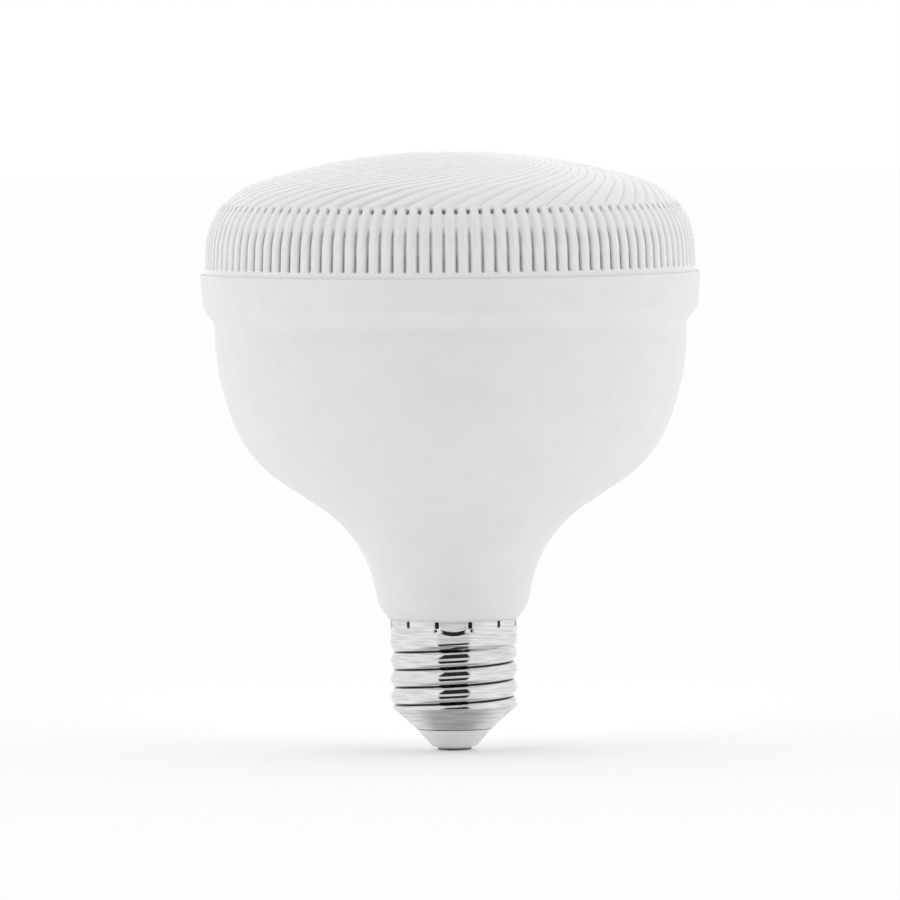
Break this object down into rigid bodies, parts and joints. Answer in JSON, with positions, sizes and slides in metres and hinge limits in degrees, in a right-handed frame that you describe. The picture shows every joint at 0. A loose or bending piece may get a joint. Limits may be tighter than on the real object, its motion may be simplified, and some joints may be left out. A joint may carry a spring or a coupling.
{
  "type": "high-wattage led bulb",
  "caption": "Broad LED bulb with a moulded bowl housing, a fluted clear lens, and an Edison screw cap; the driver and light engine are inside.",
  "frame": {"origin": "on the bulb's axis at the face of the centre contact, the lowest point with the cap down", "axes": "+Z along the bulb's axis from the cap to the lens; -Y towards the picture's camera"},
  "size_m": [0.103, 0.103, 0.1236],
  "materials": {
    "housing_plastic": "moulded, fine satin",
    "lens_plastic": "clear prismatic moulding",
    "nickel_plate": "bright drawn and plated",
    "insulator_plastic": "moulded",
    "contact_metal": "pressed and plated",
    "drawn_aluminium": "drawn, plain",
    "white_solder_mask": "white solder mask on an aluminium core",
    "led_phosphor": "silicone with phosphor",
    "screw_steel": "zinc plated",
    "red_wire": "extruded sleeve",
    "black_wire": "extruded sleeve",
    "green_laminate": "solder mask on glass laminate",
    "ferrite": "sintered",
    "black_moulding": "moulded",
    "yellow_tape": "polyester film",
    "black_sleeve": "shrunk sleeve",
    "blue_dip": "dipped coating"
  },
  "bodies": {
    "root": {"housing": "housing_plastic", "lens": "lens_plastic", "screw_shell": "nickel_plate", "base_insulator": "insulator_plastic", "centre_contact": "contact_metal", "heat_sink_cup": "drawn_aluminium", "heat_spreader": "drawn_aluminium", "led_board": "white_solder_mask", "led_packages": "led_phosphor", "led_board_screws": "screw_steel", "led_lead_positive": "red_wire", "led_lead_negative": "black_wire", "driver_board": "green_laminate", "transformer_core": "ferrite", "transformer_bobbin": "black_moulding", "transformer_winding": "yellow_tape", "bulk_capacitor": "black_sleeve", "output_capacitor": "black_sleeve", "film_capacitor": "yellow_tape", "filter_choke": "ferrite", "varistor": "blue_dip", "fuse_resistor": "blue_dip", "bridge_rectifier": "black_moulding", "driver_chip": "black_moulding", "output_diode": "black_moulding", "chip_resistors": "black_moulding", "live_lead": "red_wire", "neutral_lead": "black_wire"}
  },
  "joints": []
}
